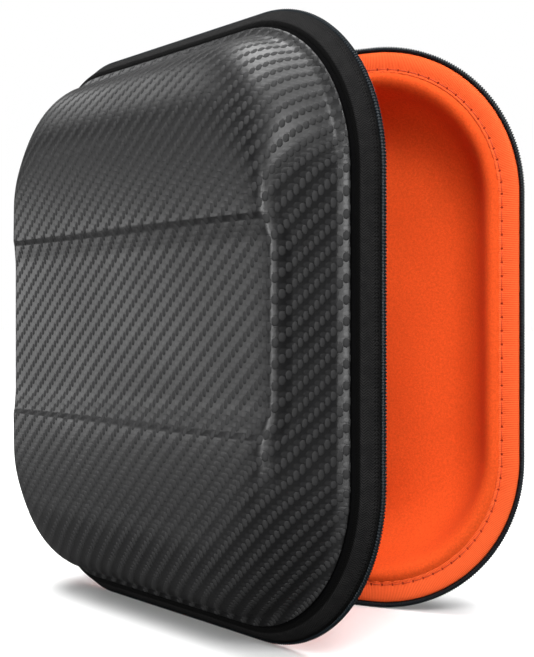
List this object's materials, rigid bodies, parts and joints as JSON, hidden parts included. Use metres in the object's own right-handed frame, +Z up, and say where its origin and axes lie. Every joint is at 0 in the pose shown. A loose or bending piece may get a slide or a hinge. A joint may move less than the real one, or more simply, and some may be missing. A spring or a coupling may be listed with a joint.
{
  "type": "headphone case",
  "caption": "Hard zipped clamshell case for over-ear headphones, two moulded halves standing half open on a fabric spine, with a coil zip, two sliders and a soft lining",
  "frame": {"origin": "under the middle of the half-open case, on the surface it stands on", "axes": "+Z up along the case's height; +X from the spine towards the rear half's opening edge; the rear half opens towards -Y and its raised face looks along +Y"},
  "size_m": [0.2364, 0.1567, 0.24],
  "materials": {
    "cover_leather": "embossed twill synthetic leather, semi-gloss",
    "shell_foam": "closed-cell moulded foam",
    "lining_jersey": "brushed jersey laminated to the foam",
    "binding_ribbon": "ribbed binding ribbon, stitched",
    "zip_tape": "herringbone woven tape",
    "zip_coil": "moulded nylon coil",
    "spine_fabric": "woven hinge strip",
    "zip_metal": "black lacquered zinc",
    "pull_rubber": "matte moulded grip"
  },
  "bodies": {
    "rear_half": {"outer_cover_rear": "cover_leather", "eva_shell_rear": "shell_foam", "lining_rear": "lining_jersey", "rim_binding_rear": "binding_ribbon", "zip_tape_rear": "zip_tape", "zip_coil_rear": "zip_coil", "spine_leaf_rear": "spine_fabric"},
    "front_half": {"outer_cover_front": "cover_leather", "eva_shell_front": "shell_foam", "lining_front": "lining_jersey", "rim_binding_front": "binding_ribbon", "zip_tape_front": "zip_tape", "zip_coil_front": "zip_coil", "spine_leaf_front": "spine_fabric"},
    "spine": {"spine_fold": "spine_fabric", "spine_lining": "binding_ribbon", "zip_chain_upper": "zip_coil", "zip_chain_lower": "zip_coil", "zip_stop_upper": "zip_metal", "zip_stop_lower": "zip_metal"},
    "upper_slider": {"slider_upper": "zip_metal"},
    "lower_slider": {"slider_lower": "zip_metal"},
    "upper_pull": {"pull_link_upper": "zip_metal", "pull_grip_upper": "pull_rubber"},
    "lower_pull": {"pull_link_lower": "zip_metal", "pull_grip_lower": "pull_rubber"}
  },
  "joints": [
    {"name": "lid_hinge", "type": "hinge", "parent": "rear_half", "child": "front_half", "pos_m": [-0.11197, 0.04117, 0.12], "axis": [0, 0, -1], "range_deg": [-25, 125]},
    {"name": "spine_fold_turn", "type": "hinge", "parent": "rear_half", "child": "spine", "pos_m": [-0.11197, 0.04117, 0.12], "axis": [0, 0, -1], "range_deg": [-12.5, 62.5]},
    {"name": "upper_slider_travel", "type": "slide", "parent": "spine", "child": "upper_slider", "axis": [0, 0, 1], "range_m": [0, 0.016]},
    {"name": "lower_slider_travel", "type": "slide", "parent": "spine", "child": "lower_slider", "axis": [0, 0, -1], "range_m": [0, 0.016]},
    {"name": "upper_pull_swing", "type": "hinge", "parent": "upper_slider", "child": "upper_pull", "pos_m": [-0.11617, 0.0421, 0.161], "axis": [0.2164, 0.9763, 0], "range_deg": [0, 165]},
    {"name": "lower_pull_swing", "type": "hinge", "parent": "lower_slider", "child": "lower_pull", "pos_m": [-0.11617, 0.0421, 0.079], "axis": [0.2164, 0.9763, 0], "range_deg": [0, 165]}
  ],
  "couplings": [
    {"joint": "spine_fold_turn", "follows": "lid_hinge", "ratio": 0.5}
  ]
}
